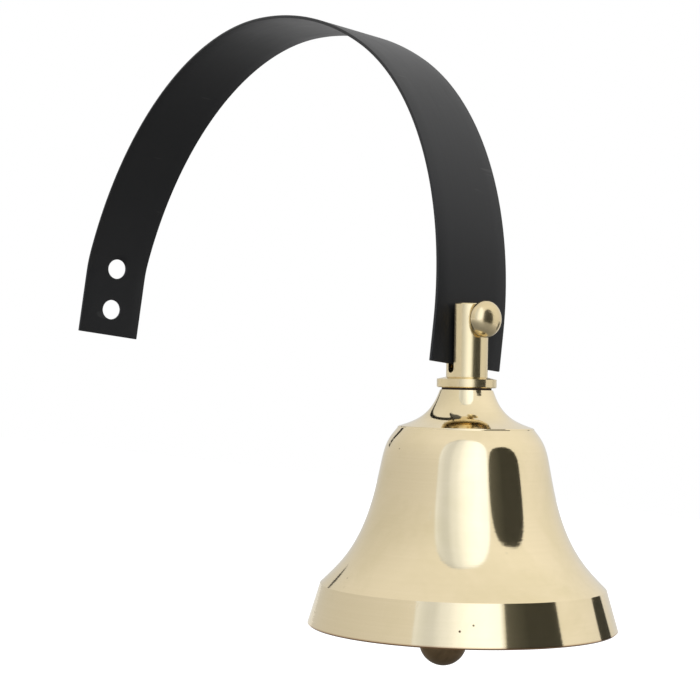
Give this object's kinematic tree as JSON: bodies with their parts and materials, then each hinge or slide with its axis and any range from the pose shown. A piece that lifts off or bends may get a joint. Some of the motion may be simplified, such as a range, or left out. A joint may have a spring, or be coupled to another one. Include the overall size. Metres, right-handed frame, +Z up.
{
  "type": "spring-mounted bell",
  "caption": "Polished brass bell with a hanging clapper, clamped by a slotted post to a bent black spring-steel strip that screws to a wall.",
  "frame": {"origin": "on the wall face, midway between the two screw holes of the strip's flat end", "axes": "+X away from the wall, square to it; +Y across the strip; +Z up, along the strip's flat end"},
  "size_m": [0.2703, 0.0861, 0.1952],
  "materials": {
    "black_spring_steel": "satin",
    "polished_brass": "polished",
    "turned_brass": "polished",
    "dull_brass": "satin",
    "dark_bronze": "satin",
    "bright_steel": "brushed",
    "dark_fibre": "matte"
  },
  "bodies": {
    "spring": {"spring_strip": "black_spring_steel"},
    "bell_head": {"hanger_post": "turned_brass", "seat_washer": "dark_fibre", "bell": "polished_brass", "inner_washer": "dull_brass", "spring_washer": "bright_steel", "crown_nut": "dull_brass", "clapper_eye": "dull_brass"},
    "clamp_screw": {"thumb_screw": "turned_brass"},
    "link": {"clapper_link": "dull_brass"},
    "clapper": {"clapper_rod": "dull_brass", "clapper_ball": "dark_bronze"}
  },
  "joints": [
    {"name": "spring_flex", "type": "hinge", "parent": "spring", "child": "bell_head", "pos_m": [0.064, 0, 0.0625], "axis": [0, 1, 0], "range_deg": [-8, 8], "stiffness_Nm_per_rad": 1.95, "springref_deg": -14.32, "deforming": ["spring_strip"]},
    {"name": "screw_turn", "type": "hinge", "parent": "bell_head", "child": "clamp_screw", "pos_m": [0.22357, -0.0009, -0.00688], "axis": [0.9992, 0, 0.0408], "range_deg": [0, 360]},
    {"name": "link_swing", "type": "hinge", "parent": "bell_head", "child": "link", "pos_m": [0.22539, 0.00354, -0.0515], "axis": [0, 1, 0], "range_deg": [-38, 38]},
    {"name": "clapper_swing", "type": "hinge", "parent": "link", "child": "clapper", "pos_m": [0.22539, 0.00354, -0.05775], "axis": [1, 0, 0], "range_deg": [-6, 20]}
  ]
}
